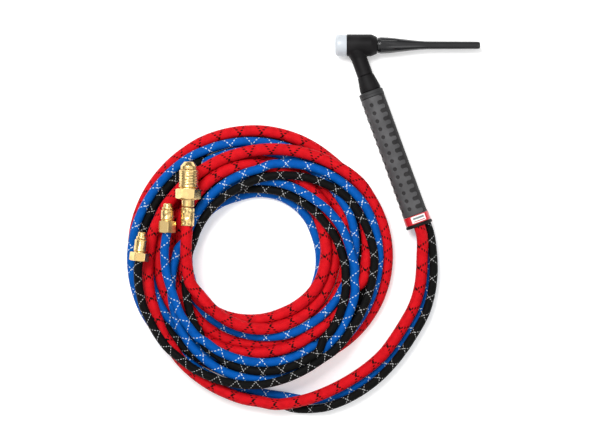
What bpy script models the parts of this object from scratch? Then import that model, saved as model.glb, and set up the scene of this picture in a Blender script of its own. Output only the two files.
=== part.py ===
"""TIG torch with its three-hose lead set, lying on a flat surface.

Metres, +Z up. The origin is under the middle of the torch, on the surface. The torch lies in the XY plane:
the head points along -X, the long back cap along +X, and the handle leaves the head at 70 degrees to the cap.
The hoses leave the handle's end, run to a coil, and end in three brass fittings that lie on top of it.
"""

import math

import bmesh
import bpy
from mathutils import Vector

MM = 0.001
GAP = 0.3 * MM                      # what touching pieces keep between them
FACE_GAP = 2.0                      # millimetres from a hose's end to the face that it leaves

# Torch: every place is measured from the point where the head's axis meets the handle's axis.
HEAD_POINT = Vector((-61.0, 99.2, 12.53)) * MM
HANDLE_ANGLE = math.radians(-70)    # of the handle's axis, from +X, seen from above
TILT = math.radians(-0.695)         # the wide end ring lifts the handle's end

HEAD_RADIUS = 12.5 * MM
HEAD_FRONT, HEAD_BACK, HEAD_SHOULDER = -8.6 * MM, 20.5 * MM, 26.0 * MM
SOCKET_RADIUS, SOCKET_WALL = 4.3 * MM, 3.2 * MM
CAP_HOLE_RADIUS = 5.2 * MM
GASKET_FRONT, GASKET_BORE = -21.8 * MM, 6.0 * MM
CAP_START, CAP_END = 28.2 * MM, 143.8 * MM
CAP_STUB_START, CAP_STUB_RADIUS = 18.5 * MM, 4.8 * MM
O_RING_MIDDLE, O_RING_WIRE = 27.1 * MM, 0.8 * MM

NECK_RADIUS, BOOT_START, BOOT_END = 9.0 * MM, 36.6 * MM, 56.0 * MM
COLLAR_END, GRIP_END = 63.3 * MM, 206.0 * MM
LABEL_END, HANDLE_END = 215.8 * MM, 219.3 * MM
GRIP_RADIUS, LABEL_RADIUS, END_RING_RADIUS = 13.0 * MM, 13.4 * MM, 15.0 * MM

# Hoses
RED_D, BLUE_D, BLACK_D = 13.2 * MM, 10.0 * MM, 9.5 * MM
COIL_CENTRE = Vector((-169.0, -148.0, 0.0)) * MM
COIL_INNER, COIL_OUTER, COIL_HEIGHT = 62.0 * MM, 152.0 * MM, 32.0 * MM

# Each lead's route from the handle to the coil, in millimetres.
RED_LEAD = [
    (12.6, -107.4, 21.6), (15.0, -115.0, 21.2), (16.4, -125.0, 19.2), (16.2, -140.0, 16.5),
    (15.8, -155.0, 15.2), (14.6, -170.0, 14.3), (11.6, -185.0, 13.4), (6.4, -200.0, 12.8),
    (-0.5, -213.0, 12.6), (-12.9, -233.0, 12.6), (-27.8, -253.2, 12.6), (-46.8, -270.1, 12.7),
    (-68.6, -284.6, 13.2), (-90.9, -295.8, 15.2), (-112.7, -303.8, 17.2), (-134.6, -308.8, 17.6),
    (-152.0, -310.2, 17.6),
]
BLUE_LEAD = [
    (13.1, -107.2, 8.6), (16.9, -118.0, 7.6), (20.3, -131.0, 5.8), (22.6, -146.0, 5.2),
    (23.2, -160.0, 5.2), (22.6, -175.0, 5.2), (20.2, -190.0, 5.2), (15.6, -204.0, 5.2),
    (8.2, -218.5, 5.2), (-4.6, -238.8, 5.2), (-20.6, -260.3, 5.2), (-40.6, -278.4, 5.2),
    (-63.9, -293.6, 5.2), (-82.0, -301.6, 5.2), (-98.0, -305.9, 5.2), (-112.0, -306.8, 5.2),
    (-126.0, -305.2, 5.2), (-137.0, -302.9, 5.2),
]
BLACK_LEAD = [
    (21.7, -104.1, 14.5), (24.9, -113.0, 14.4), (27.3, -124.0, 13.8), (28.8, -138.0, 13.6),
    (29.6, -152.0, 13.6), (29.2, -166.0, 13.6), (27.2, -182.0, 13.6), (23.2, -198.0, 13.6),
    (17.0, -213.6, 13.6), (2.5, -238.0, 13.6), (-12.5, -259.0, 13.6), (-31.0, -279.0, 13.4),
    (-50.0, -294.0, 13.2), (-69.5, -305.3, 12.6), (-90.5, -313.6, 11.0), (-101.5, -315.8, 9.2),
    (-112.7, -317.0, 6.6), (-125.0, -317.0, 4.9), (-136.0, -314.9, 4.9), (-150.0, -309.3, 4.9),
]
# Each hose's last stretch, from its fitting back to the top of the coil.
RED_TAIL = [
    (-249.3, -107.2, 47.0), (-249.9, -115.0, 46.6), (-250.8, -127.0, 44.2), (-251.0, -141.0, 40.6),
    (-249.5, -156.0, 39.1), (-246.0, -172.0, 39.0),
]
BLUE_TAIL = [
    (-272.4, -114.7, 43.3), (-274.2, -125.0, 42.7), (-275.4, -138.0, 40.2), (-274.6, -152.0, 37.9),
    (-271.5, -168.0, 37.4),
]
BLACK_TAIL = [
    (-303.7, -146.4, 43.8), (-305.0, -157.0, 43.0), (-304.9, -170.0, 40.0), (-302.8, -184.0, 37.6),
    (-299.0, -199.0, 37.2),
]


def clear_scene():
    for obj in list(bpy.data.objects):
        bpy.data.objects.remove(obj, do_unlink=True)


def new_collection(name):
    collection = bpy.data.collections.new(name)
    bpy.context.scene.collection.children.link(collection)
    return collection


def material(name, colour, roughness, metallic=0.0):
    made = bpy.data.materials.new(name)
    made.use_nodes = True
    shader = made.node_tree.nodes["Principled BSDF"]
    shader.inputs["Base Color"].default_value = (*colour, 1.0)
    shader.inputs["Roughness"].default_value = roughness
    shader.inputs["Metallic"].default_value = metallic
    return made


def add_object(name, data, look, parent=None):
    obj = bpy.data.objects.new(name, data)
    TORCH_PARTS.objects.link(obj)
    obj.parent = parent
    if look:
        obj.data.materials.append(look)
    return obj


def smooth(obj):
    if obj.type == "MESH":
        obj.data.shade_smooth()
        obj.data.set_sharp_from_angle(angle=math.radians(35))


def profile_mesh(name, points, closed):
    """A chain of (radius, height) points in the XZ plane, for a Screw modifier."""
    mesh = bpy.data.meshes.new(name)
    shape = bmesh.new()
    corners = [shape.verts.new((radius, 0.0, height)) for radius, height in points]
    for first, second in zip(corners, corners[1:]):
        shape.edges.new((first, second))
    if closed:
        shape.edges.new((corners[-1], corners[0]))
    shape.to_mesh(mesh)
    shape.free()
    return mesh


def turned(name, points, look, parent=None, closed=False, sides=32):
    """A turned piece: points run down the outer side, and back up the bore when closed."""
    obj = add_object(name, profile_mesh(name, points, closed), look, parent)
    screw = obj.modifiers.new("turn", "SCREW")
    screw.axis = "Z"
    screw.steps = screw.render_steps = sides
    screw.use_merge_vertices = True
    screw.merge_threshold = 0.00005
    screw.use_smooth_shade = True
    return obj


def hexagon(name, across_flats, low, high, look, parent):
    """A hexagonal prism along Z with a flat side up, as a mesh with bevelled ends."""
    shape = bmesh.new()
    bmesh.ops.create_cone(
        shape, cap_ends=True, segments=6, depth=high - low,
        radius1=across_flats / math.sqrt(3), radius2=across_flats / math.sqrt(3),
    )
    bmesh.ops.translate(shape, verts=shape.verts, vec=(0, 0, (low + high) / 2))
    mesh = bpy.data.meshes.new(name)
    shape.to_mesh(mesh)
    shape.free()
    return add_object(name, mesh, look, parent)


def as_cutter(obj):
    """Moves an object among the cutters, so that it isn't a piece of the torch."""
    TORCH_PARTS.objects.unlink(obj)
    CUTTERS.objects.link(obj)
    obj.hide_render = True
    obj.display_type = "WIRE"
    return obj


def boolean(obj, other, operation):
    step = obj.modifiers.new(other.name, "BOOLEAN")
    step.operation = operation
    step.object = as_cutter(other)


def through_points(points, spacing):
    """Points a set distance apart along a smooth curve through the route's own points."""
    route = [Vector(point) * MM for point in points]
    route = [2 * route[0] - route[1]] + route + [2 * route[-1] - route[-2]]
    fine = []
    for a, b, c, d in zip(route, route[1:], route[2:], route[3:]):
        for step in range(12):
            t = step / 12
            fine.append(0.5 * (2 * b + (c - a) * t + (2 * a - 5 * b + 4 * c - d) * t**2
                               + (3 * b - a - 3 * c + d) * t**3))
    fine.append(route[-2])
    total = sum((b - a).length for a, b in zip(fine, fine[1:]))
    count = max(4, round(total / spacing))
    result, walked, target = [fine[0]], 0.0, total / count
    for a, b in zip(fine, fine[1:]):
        length = (b - a).length
        while len(result) < count and walked + length >= target * len(result):
            result.append(a.lerp(b, (target * len(result) - walked) / length))
        walked += length
    result.append(fine[-1])
    return result


def hose(name, points, diameter, look):
    curve = bpy.data.curves.new(name, "CURVE")
    curve.dimensions = "3D"
    curve.bevel_depth = diameter / 2
    curve.bevel_resolution = 3
    curve.use_fill_caps = True
    route = through_points(points, 2.2 * diameter)
    spline = curve.splines.new("POLY")
    spline.points.add(len(route) - 1)
    for point, place in zip(spline.points, route):
        point.co = (*place, 1.0)
    return add_object(name, curve, look)


# --- torch -------------------------------------------------------------------------------------------------

def make_frames():
    """Empties: the torch, its head axis (Z along world +X) and its handle axis (Z away from the head)."""
    torch = bpy.data.objects.new("torch", None)
    head_axis = bpy.data.objects.new("head_axis", None)
    handle_axis = bpy.data.objects.new("handle_axis", None)
    for empty in (torch, head_axis, handle_axis):
        TORCH_PARTS.objects.link(empty)
    head_axis.parent = handle_axis.parent = torch
    torch.location = HEAD_POINT
    torch.rotation_euler.x = TILT
    head_axis.rotation_euler.y = math.radians(90)
    handle_axis.rotation_euler = (0.0, math.radians(90), HANDLE_ANGLE)
    return head_axis, handle_axis


def make_head(head_axis, handle_axis):
    shell = turned("head_shell", [
        (0.0, HEAD_SHOULDER), (8.2 * MM, HEAD_SHOULDER), (9.4 * MM, HEAD_SHOULDER - 1.0 * MM),
        (11.6 * MM, HEAD_BACK + 1.2 * MM), (HEAD_RADIUS, HEAD_BACK - 1.5 * MM),
        (HEAD_RADIUS, HEAD_FRONT + 0.6 * MM), (HEAD_RADIUS - 0.6 * MM, HEAD_FRONT), (0.0, HEAD_FRONT),
    ], BLACK_SHELL, head_axis, sides=40)
    neck = turned("neck_union", [
        (0.0, BOOT_START), (NECK_RADIUS, BOOT_START), (NECK_RADIUS, 16.0 * MM),
        (NECK_RADIUS + 1.6 * MM, 8.0 * MM), (NECK_RADIUS + 1.6 * MM, 1.0 * MM), (0.0, 1.0 * MM),
    ], None, handle_axis, sides=32)
    boolean(shell, neck, "UNION")
    bore_radius = SOCKET_RADIUS + SOCKET_WALL + GAP
    bore = turned("head_bore_cutter", [
        (0.0, 16.0 * MM), (bore_radius, 16.0 * MM), (bore_radius, HEAD_FRONT - 2 * MM),
        (0.0, HEAD_FRONT - 2 * MM),
    ], None, head_axis, sides=32)
    boolean(shell, bore, "DIFFERENCE")
    cap_hole = turned("cap_hole_cutter", [
        (0.0, HEAD_SHOULDER + 2 * MM), (CAP_HOLE_RADIUS, HEAD_SHOULDER + 2 * MM),
        (CAP_HOLE_RADIUS, 14.0 * MM), (0.0, 14.0 * MM),
    ], None, head_axis, sides=32)
    boolean(shell, cap_hole, "DIFFERENCE")
    outer, front, back = SOCKET_RADIUS + SOCKET_WALL, HEAD_FRONT + 1.5 * MM, 15.7 * MM
    turned("head_socket", [
        (outer, back), (outer, front), (SOCKET_RADIUS, front), (SOCKET_RADIUS, back),
    ], COPPER, head_axis, closed=True)


def make_gasket(head_axis):
    turned("gasket", [
        (12.3 * MM, HEAD_FRONT - GAP), (12.4 * MM, GASKET_FRONT + 6 * MM),
        (12.0 * MM, GASKET_FRONT + 2.2 * MM), (11.0 * MM, GASKET_FRONT + 0.6 * MM),
        (10.0 * MM, GASKET_FRONT), (GASKET_BORE, GASKET_FRONT), (GASKET_BORE, HEAD_FRONT - GAP),
    ], WHITE_INSULATOR, head_axis, closed=True, sides=40)


def cap_radius(height):
    """The back cap's outline: a wide grip that tapers into a slim straight tube."""
    reach = min(1.0, max(0.0, (height - CAP_START) / (58.0 * MM)))
    blend = reach * reach * (3 - 2 * reach)
    return (9.4 - 4.5 * blend - 0.6 * (height - CAP_START) / (CAP_END - CAP_START)) * MM


def make_back_cap(head_axis):
    tip = 2.2 * MM
    outline = [(0.0, CAP_END), (cap_radius(CAP_END) - 1.6 * MM, CAP_END - 0.2 * MM),
               (cap_radius(CAP_END) - 0.4 * MM, CAP_END - 0.9 * MM)]
    steps = 14
    outline += [(cap_radius(h), h) for h in
                (CAP_END - tip + (CAP_START + 1.2 * MM - CAP_END + tip) * i / steps for i in range(steps + 1))]
    outline += [(8.6 * MM, CAP_START), (CAP_STUB_RADIUS, CAP_START),
                (CAP_STUB_RADIUS, CAP_STUB_START + 0.8 * MM),
                (CAP_STUB_RADIUS - 0.8 * MM, CAP_STUB_START), (0.0, CAP_STUB_START)]
    turned("back_cap", outline, BLACK_GLOSS, head_axis, sides=32)
    ring_radius = CAP_STUB_RADIUS + GAP + O_RING_WIRE
    section = []
    for i in range(8):
        angle = math.radians(90 - 45 * i)
        section.append((ring_radius + O_RING_WIRE * math.cos(angle),
                        O_RING_MIDDLE + O_RING_WIRE * math.sin(angle)))
    turned("back_cap_o_ring", section, RUBBER, head_axis, closed=True)


def make_handle(handle_axis):
    turned("neck_boot", [
        (0.0, BOOT_END - GAP), (11.6 * MM, BOOT_END - GAP), (12.0 * MM, BOOT_END - 1.5 * MM),
        (11.6 * MM, BOOT_END - 7 * MM), (10.2 * MM, BOOT_START + 5 * MM),
        (9.6 * MM, BOOT_START + GAP + 1 * MM), (9.2 * MM, BOOT_START + GAP), (0.0, BOOT_START + GAP),
    ], BLACK_SHELL, handle_axis)
    turned("handle_collar", [
        (0.0, COLLAR_END - GAP), (12.6 * MM, COLLAR_END - GAP), (12.6 * MM, BOOT_END + 1.0 * MM),
        (11.8 * MM, BOOT_END), (0.0, BOOT_END),
    ], GREY_GRIP, handle_axis)
    turned("handle_grip", [
        (0.0, GRIP_END - GAP), (GRIP_RADIUS - 0.3 * MM, GRIP_END - GAP),
        (GRIP_RADIUS, GRIP_END - 1.0 * MM), (GRIP_RADIUS - 0.5 * MM, (COLLAR_END + GRIP_END) / 2),
        (GRIP_RADIUS, COLLAR_END + 14 * MM), (GRIP_RADIUS - 0.4 * MM, COLLAR_END), (0.0, COLLAR_END),
    ], GREY_GRIP, handle_axis, sides=40)
    turned("handle_label", [
        (0.0, LABEL_END - GAP), (LABEL_RADIUS, LABEL_END - GAP), (LABEL_RADIUS, GRIP_END), (0.0, GRIP_END),
    ], RED_LABEL, handle_axis, sides=40)
    turned("handle_end_ring", [
        (0.0, HANDLE_END), (END_RING_RADIUS - 0.8 * MM, HANDLE_END),
        (END_RING_RADIUS, HANDLE_END - 0.8 * MM), (END_RING_RADIUS, LABEL_END + 0.6 * MM),
        (END_RING_RADIUS - 0.6 * MM, LABEL_END), (0.0, LABEL_END),
    ], BLACK_SHELL, handle_axis, sides=40)


# --- hose fittings -----------------------------------------------------------------------------------------

def fitting_axis(name, start, end):
    """An empty at a fitting's hose end, with Z towards its nose."""
    empty = bpy.data.objects.new(name, None)
    TORCH_PARTS.objects.link(empty)
    empty.location = Vector(start) * MM
    empty.rotation_mode = "QUATERNION"
    empty.rotation_quaternion = (Vector(end) - Vector(start)).to_track_quat("Z", "Y")
    return empty


def make_nut(name, axis, across_flats, hex_range, body, bore):
    """A hexagon with a turned body through it, bored for the nipple that it turns on."""
    nut = hexagon(name, across_flats, *hex_range, BRASS, axis)
    low, high = min(h for _, h in body), max(h for _, h in body)
    core = turned(name + "_body", [(0.0, high)] + body + [(0.0, low)], None, axis)
    boolean(nut, core, "UNION")
    bore_low = min(low, hex_range[0]) - 2 * MM
    hole = turned(name + "_bore", [
        (0.0, high + 2 * MM), (bore, high + 2 * MM), (bore, bore_low), (0.0, bore_low),
    ], None, axis, sides=24)
    boolean(nut, hole, "DIFFERENCE")
    return nut


def make_power_fitting():
    axis = fitting_axis("power_fitting", (-249.3, -107.2, 47.0), (-247.2, -35.3, 47.0))
    turned("power_ferrule", [
        (0.0, 21.0 * MM), (7.2 * MM, 21.0 * MM), (7.6 * MM, 20.4 * MM), (7.6 * MM, 0.9 * MM),
        (7.2 * MM, GAP), (0.0, GAP),
    ], BRASS, axis)
    make_nut("power_nut", axis, 25.0 * MM, (30.6 * MM, 42.0 * MM), [
        (10.2 * MM, 63.0 * MM), (11.0 * MM, 62.2 * MM), (11.0 * MM, 44.0 * MM), (9.8 * MM, 43.0 * MM),
        (9.8 * MM, 29.8 * MM), (7.6 * MM, 29.8 * MM), (7.4 * MM, 22.0 * MM),
    ], 5.8 * MM)
    turned("power_nipple", [
        (1.9 * MM, 72.2 * MM), (5.8 * MM, 72.2 * MM), (9.4 * MM, 67.2 * MM), (9.4 * MM, 63.6 * MM),
        (8.9 * MM, 63.3 * MM), (5.4 * MM, 63.3 * MM), (5.4 * MM, 21.3 * MM), (1.9 * MM, 21.3 * MM),
    ], BRASS, axis, closed=True)


def make_water_fitting():
    axis = fitting_axis("water_fitting", (-272.4, -114.7, 43.3), (-271.4, -81.5, 43.3))
    make_nut("water_nut", axis, 18.6 * MM, (GAP, 13.6 * MM), [
        (7.2 * MM, 25.6 * MM), (7.7 * MM, 25.1 * MM), (7.7 * MM, 15.2 * MM), (6.9 * MM, 14.6 * MM),
        (6.9 * MM, 3.0 * MM),
    ], 3.8 * MM)
    turned("water_nipple", [
        (1.7 * MM, 33.2 * MM), (4.0 * MM, 33.2 * MM), (4.9 * MM, 32.0 * MM), (4.9 * MM, 29.4 * MM),
        (6.3 * MM, 28.8 * MM), (6.3 * MM, 26.4 * MM), (5.8 * MM, 25.9 * MM), (3.4 * MM, 25.9 * MM),
        (3.4 * MM, GAP), (1.7 * MM, GAP),
    ], BRASS, axis, closed=True)


def make_gas_fitting():
    axis = fitting_axis("gas_fitting", (-303.7, -146.4, 43.8), (-299.9, -113.7, 43.8))
    make_nut("gas_nut", axis, 19.5 * MM, (GAP, 10.0 * MM), [
        (6.8 * MM, 24.4 * MM), (7.3 * MM, 23.9 * MM), (7.3 * MM, 11.6 * MM), (6.5 * MM, 11.0 * MM),
        (6.5 * MM, 3.0 * MM),
    ], 3.6 * MM)
    turned("gas_nipple", [
        (1.5 * MM, 32.8 * MM), (3.7 * MM, 32.8 * MM), (4.6 * MM, 31.6 * MM), (4.6 * MM, 28.2 * MM),
        (6.0 * MM, 27.6 * MM), (6.0 * MM, 25.2 * MM), (5.6 * MM, 24.7 * MM), (3.2 * MM, 24.7 * MM),
        (3.2 * MM, GAP), (1.5 * MM, GAP),
    ], BRASS, axis, closed=True)


def off_face(points):
    """The same route, with its first point moved off the slanting face that the hose meets."""
    first, second = Vector(points[0]), Vector(points[1])
    return [tuple(first + (second - first).normalized() * FACE_GAP)] + points[1:]


def make_hoses():
    hose("red_lead", off_face(RED_LEAD), RED_D, RED_HOSE)
    hose("blue_lead", off_face(BLUE_LEAD), BLUE_D, BLUE_HOSE)
    hose("black_lead", off_face(BLACK_LEAD), BLACK_D, BLACK_HOSE)
    hose("red_tail", off_face(RED_TAIL), RED_D, RED_HOSE)
    hose("blue_tail", off_face(BLUE_TAIL), BLUE_D, BLUE_HOSE)
    hose("black_tail", off_face(BLACK_TAIL), BLACK_D, BLACK_HOSE)
    edge = 8.0 * MM
    ring = turned("hose_coil", [
        (COIL_OUTER - edge, COIL_HEIGHT), (COIL_OUTER - 2.4 * MM, COIL_HEIGHT - 2.4 * MM),
        (COIL_OUTER, COIL_HEIGHT - edge), (COIL_OUTER, 4 * MM), (COIL_OUTER - 4 * MM, 0.0),
        (COIL_INNER + 4 * MM, 0.0), (COIL_INNER, 4 * MM), (COIL_INNER, COIL_HEIGHT - edge),
        (COIL_INNER + 2.4 * MM, COIL_HEIGHT - 2.4 * MM), (COIL_INNER + edge, COIL_HEIGHT),
    ], BLACK_HOSE, closed=True, sides=48)
    ring.location = COIL_CENTRE


clear_scene()
TORCH_PARTS = new_collection("tig_torch")
CUTTERS = new_collection("cutters")
BLACK_SHELL = material("black_shell", (0.012, 0.012, 0.013), 0.55)
BLACK_GLOSS = material("black_gloss", (0.01, 0.01, 0.012), 0.2)
RUBBER = material("rubber", (0.01, 0.01, 0.01), 0.7)
WHITE_INSULATOR = material("white_insulator", (0.8, 0.84, 0.88), 0.4)
COPPER = material("copper", (0.72, 0.42, 0.2), 0.3, 1.0)
GREY_GRIP = material("grey_grip", (0.08, 0.08, 0.085), 0.6)
RED_LABEL = material("red_label", (0.6, 0.01, 0.02), 0.4)
BRASS = material("brass", (0.75, 0.55, 0.2), 0.25, 1.0)
RED_HOSE = material("red_hose", (0.7, 0.01, 0.015), 0.7)
BLUE_HOSE = material("blue_hose", (0.01, 0.08, 0.5), 0.7)
BLACK_HOSE = material("black_hose", (0.01, 0.01, 0.01), 0.7)

HEAD_AXIS, HANDLE_AXIS = make_frames()
make_head(HEAD_AXIS, HANDLE_AXIS)
make_gasket(HEAD_AXIS)
make_back_cap(HEAD_AXIS)
make_handle(HANDLE_AXIS)
make_power_fitting()
make_water_fitting()
make_gas_fitting()
make_hoses()
for piece in TORCH_PARTS.objects:
    smooth(piece)
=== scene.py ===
"""Looks of the TIG torch and its hose set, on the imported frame.

Metres, +Z up. The torch lies on the floor with its head towards -X and its handle towards -Y. The three hoses
leave the handle, lie in one round coil and end in brass fittings on top of it.
"""

import math

import bmesh
import bpy
import numpy as np
from mathutils import Matrix, Vector


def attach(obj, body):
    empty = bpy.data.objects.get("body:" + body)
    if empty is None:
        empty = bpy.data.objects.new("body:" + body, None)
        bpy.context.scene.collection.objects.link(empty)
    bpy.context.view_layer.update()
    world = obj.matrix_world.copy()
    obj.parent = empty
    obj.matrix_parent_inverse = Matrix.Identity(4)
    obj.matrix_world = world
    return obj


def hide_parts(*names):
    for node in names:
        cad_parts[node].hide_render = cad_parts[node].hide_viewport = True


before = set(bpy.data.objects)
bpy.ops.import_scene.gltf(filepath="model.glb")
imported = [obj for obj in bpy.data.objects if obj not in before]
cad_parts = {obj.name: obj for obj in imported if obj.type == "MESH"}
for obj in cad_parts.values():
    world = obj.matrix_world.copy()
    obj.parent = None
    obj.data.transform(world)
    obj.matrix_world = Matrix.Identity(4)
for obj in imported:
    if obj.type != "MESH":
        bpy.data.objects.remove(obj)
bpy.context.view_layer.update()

MM = 0.001

# --- places that the hoses share with the CAD model, in millimetres -------------------------------

HEAD_POINT = Vector((-61.0, 99.2, 12.53)) * MM      # where the head's axis meets the handle's
HANDLE_ANGLE = math.radians(-70)
TILT = math.radians(-0.695)         # the torch's lean about the X axis

RED_D, BLUE_D, BLACK_D = 13.2 * MM, 10.0 * MM, 9.5 * MM
COIL_CENTRE = (-169.0, -148.0)

RED_LEAD = [
    (12.6, -107.4, 21.6), (15.0, -115.0, 21.2), (16.4, -125.0, 19.2), (16.2, -140.0, 16.5),
    (15.8, -155.0, 15.2), (14.6, -170.0, 14.3), (11.6, -185.0, 13.4), (6.4, -200.0, 12.8),
    (-0.5, -213.0, 12.6), (-12.9, -233.0, 12.6), (-27.8, -253.2, 12.6), (-46.8, -270.1, 12.7),
    (-68.6, -284.6, 13.2), (-90.9, -295.8, 15.2), (-112.7, -303.8, 17.2), (-134.6, -308.8, 17.6),
    (-152.0, -310.2, 17.6),
]
BLUE_LEAD = [
    (13.1, -107.2, 8.6), (16.9, -118.0, 7.6), (20.3, -131.0, 5.8), (22.6, -146.0, 5.2),
    (23.2, -160.0, 5.2), (22.6, -175.0, 5.2), (20.2, -190.0, 5.2), (15.6, -204.0, 5.2),
    (8.2, -218.5, 5.2), (-4.6, -238.8, 5.2), (-20.6, -260.3, 5.2), (-40.6, -278.4, 5.2),
    (-63.9, -293.6, 5.2), (-82.0, -301.6, 5.2), (-98.0, -305.9, 5.2), (-112.0, -306.8, 5.2),
    (-126.0, -305.2, 5.2), (-137.0, -302.9, 5.2),
]
BLACK_LEAD = [
    (21.7, -104.1, 14.5), (24.9, -113.0, 14.4), (27.3, -124.0, 13.8), (28.8, -138.0, 13.6),
    (29.6, -152.0, 13.6), (29.2, -166.0, 13.6), (27.2, -182.0, 13.6), (23.2, -198.0, 13.6),
    (17.0, -213.6, 13.6), (2.5, -238.0, 13.6), (-12.5, -259.0, 13.6), (-31.0, -279.0, 13.4),
    (-50.0, -294.0, 13.2), (-69.5, -305.3, 12.6), (-90.5, -313.6, 11.0), (-101.5, -315.8, 9.2),
    (-112.7, -317.0, 6.6), (-125.0, -317.0, 4.9), (-136.0, -314.9, 4.9), (-150.0, -309.3, 4.9),
]
RED_TAIL = [
    (-249.3, -107.2, 47.0), (-249.9, -115.0, 46.6), (-250.8, -127.0, 44.2), (-251.0, -141.0, 40.6),
    (-249.5, -156.0, 39.1), (-246.0, -172.0, 39.0),
]
BLUE_TAIL = [
    (-272.4, -114.7, 43.3), (-274.2, -125.0, 42.7), (-275.4, -138.0, 40.2), (-274.6, -152.0, 37.9),
    (-271.5, -168.0, 37.4),
]
BLACK_TAIL = [
    (-303.7, -146.4, 43.8), (-305.0, -157.0, 43.0), (-304.9, -170.0, 40.0), (-302.8, -184.0, 37.6),
    (-299.0, -199.0, 37.2),
]

# Each hose's turns in the coil, clockwise from the front (270 degrees) in steps of 20 degrees: the distance
# from the coil's centre in millimetres, then the layer that it lies in, one digit a step, 1 on the floor.
RED_TURNS = [
    ((159, 154, 144, 135, 127, 123, 122, 121, 124, 125, 132, 143, 149, 152, 150, 141, 131, 126),
     "333333334455444321"),
    ((124, 124, 127, 135, 142, 148, 151, 153, 153, 151, 148, 140, 131, 121, 117, 108, 105, 105),
     "211111222222333344"),
    ((105, 107, 109, 114, 117, 117, 123, 131, 129, 122, 116, 112, 109, 103, 99, 97, 96, 95),
     "432222233213332223"),
    ((95, 96, 98, 102, 101, 100, 100, 100, 99, 98, 95, 91, 84, 79, 74, 70, 67, 66),
     "344322111111112222"),
    ((66, 68, 77, 84, 91, 95, 102, 105, 109, 112, 108, 103, 99, 89, 84, 82, 79, 78),
     "222212344433234555"),
    ((78, 77, 76, 79), "5566"),
]
BLUE_TURNS = [
    ((150, 140, 137, 144, 150, 151, 149, 144, 138, 136, 131, 126, 125, 122, 118, 116, 116, 115),
     "113332332221111112"),
    ((114, 120, 122, 126, 131, 134, 136, 138, 136, 134, 126, 121, 117, 111, 102, 96, 91, 89),
     "222222211113332333"),
    ((87, 89, 91, 95, 95, 92, 89, 87, 87, 85, 82, 77, 72, 69, 67, 68, 70, 71),
     "333221111112221111"),
    ((71, 72, 75, 79, 90, 98, 99, 95, 91, 91, 92, 94, 99, 106, 113, 119, 124, 130),
     "111122222344444433"),
    ((136, 140, 128, 113, 98, 93, 86, 91, 98, 108, 120, 133, 140, 141, 137, 132, 123, 121),
     "334344344555554434"),
    ((121, 117, 113, 109), "5566"),
]
BLACK_TURNS = [
    ((159, 147, 139, 130, 134, 139, 139, 134, 128, 124, 123, 123, 124, 125, 126, 127, 128, 129),
     "112213322111111111"),
    ((127, 122, 119, 119, 122, 128, 135, 142, 146, 144, 138, 131, 122, 115, 112, 110, 112, 112),
     "111111111112221133"),
    ((112, 110, 108, 106, 103, 102, 101, 101, 101, 102, 103, 100, 102, 110, 117, 123, 126, 129),
     "211111233333222222"),
    ((133, 135, 136, 129, 118, 106, 97, 91, 86, 83, 81, 82, 87, 93, 100, 108, 121, 128),
     "322211122223455555"),
    ((133, 127, 105, 92, 82, 76, 76, 79, 84, 93, 104, 117, 129, 134, 129, 125, 131, 136),
     "543432123444444445"),
    ((143, 146, 147, 144), "5566"),
]

# --- camera, lights and floor ---------------------------------------------------------------------

VIEW_CENTRE = (-123.0, -94.0)       # millimetres: the floor's point under the camera
VIEW_WIDTH = 0.690                  # metres of floor across the picture
VIEW_HEIGHT = 1.8                   # metres from the camera to the floor
FLOOR_SIZE = 6.0


def aim(obj, target):
    """Turns a lamp's -Z towards a point."""
    obj.rotation_euler = (Vector(target) - obj.location).to_track_quat("-Z", "Y").to_euler()


def add_to_scene(name, data, location=(0, 0, 0)):
    obj = bpy.data.objects.new(name, data)
    bpy.context.scene.collection.objects.link(obj)
    obj.location = location
    return obj


def make_camera():
    camera = add_to_scene("camera", bpy.data.cameras.new("camera"),
                          (VIEW_CENTRE[0] * MM, VIEW_CENTRE[1] * MM, VIEW_HEIGHT))
    camera.data.lens = camera.data.sensor_width * VIEW_HEIGHT / VIEW_WIDTH
    camera.data.clip_end = 20.0
    bpy.context.scene.camera = camera


def make_lamp(name, location, size, power):
    data = bpy.data.lights.new(name, "AREA")
    data.shape = "DISK"
    data.size = size
    data.energy = power
    lamp = add_to_scene(name, data, location)
    aim(lamp, (VIEW_CENTRE[0] * MM, VIEW_CENTRE[1] * MM, 0.0))


def make_studio():
    """A key lamp, a weak fill, and a world that is bright overhead and dark below."""
    make_lamp("key_light", (-0.62, 0.72, 1.75), 0.9, 32.0)
    make_lamp("fill_light", (1.1, -0.9, 1.7), 1.6, 7.0)
    world = bpy.data.worlds.new("studio")
    world.use_nodes = True
    background = world.node_tree.nodes["Background"]
    background.inputs["Strength"].default_value = 0.9
    nodes, links = world.node_tree.nodes, world.node_tree.links
    split = nodes.new("ShaderNodeSeparateXYZ")
    links.new(nodes.new("ShaderNodeTexCoord").outputs["Generated"], split.inputs[0])
    ramp = nodes.new("ShaderNodeValToRGB")
    ramp.color_ramp.elements[0].position = 0.12
    ramp.color_ramp.elements[0].color = (0.05, 0.05, 0.052, 1.0)
    ramp.color_ramp.elements[1].position = 0.8
    ramp.color_ramp.elements[1].color = (1.0, 1.0, 1.0, 1.0)
    links.new(split.outputs[2], ramp.inputs[0])
    links.new(ramp.outputs[0], background.inputs["Color"])
    bpy.context.scene.world = world
    bpy.context.scene.view_settings.view_transform = "Standard"


def make_floor():
    shape = bmesh.new()
    bmesh.ops.create_grid(shape, x_segments=8, y_segments=8, size=FLOOR_SIZE / 2)
    mesh = bpy.data.meshes.new("floor")
    shape.to_mesh(mesh)
    shape.free()
    floor = add_to_scene("floor", mesh)
    look = Look("floor_paper", colour=(0.93, 0.93, 0.93), roughness=0.9, specular=0.1)
    grain = look.noise(900.0, 3.0, look.place())
    look.bump(grain, 0.0002, 0.05)
    look.set("Emission Color", (1.0, 1.0, 1.0, 1.0))
    look.set("Emission Strength", 0.22)
    mesh.materials.append(look.material)


# --- materials ------------------------------------------------------------------------------------

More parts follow.
